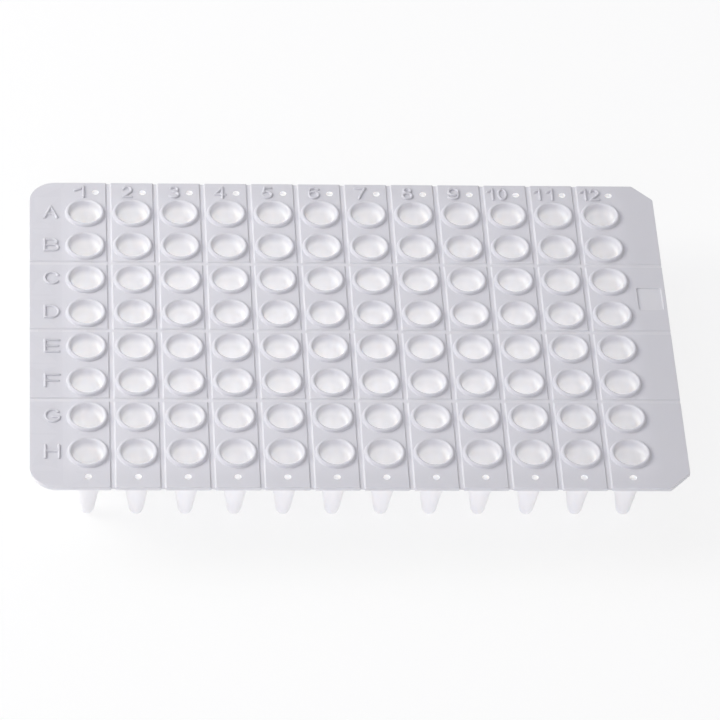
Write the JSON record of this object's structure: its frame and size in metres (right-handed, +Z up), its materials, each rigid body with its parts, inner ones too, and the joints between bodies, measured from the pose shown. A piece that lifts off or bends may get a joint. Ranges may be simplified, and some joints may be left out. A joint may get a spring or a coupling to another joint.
{
  "type": "well plate",
  "caption": "Low-profile plate of tapered wells for thermal cycling, one moulding: flat deck with raised rims, breaking grooves, two rounded and two cut corners and small edge holes.",
  "frame": {"origin": "under the middle of the deck, in the plane of the tube tips, on which the plate stands", "axes": "+X along the rows, from the rounded corners beside the first column to the cut corners beside the last; +Y towards the back row of holes, which is stepped sideways; +Z up, out of the wells"},
  "size_m": [0.12, 0.08, 0.0161],
  "materials": {
    "white_polypropylene": "fine matt moulded surface, white and slightly translucent"
  },
  "bodies": {
    "root": {"well_plate": "white_polypropylene"}
  },
  "joints": []
}
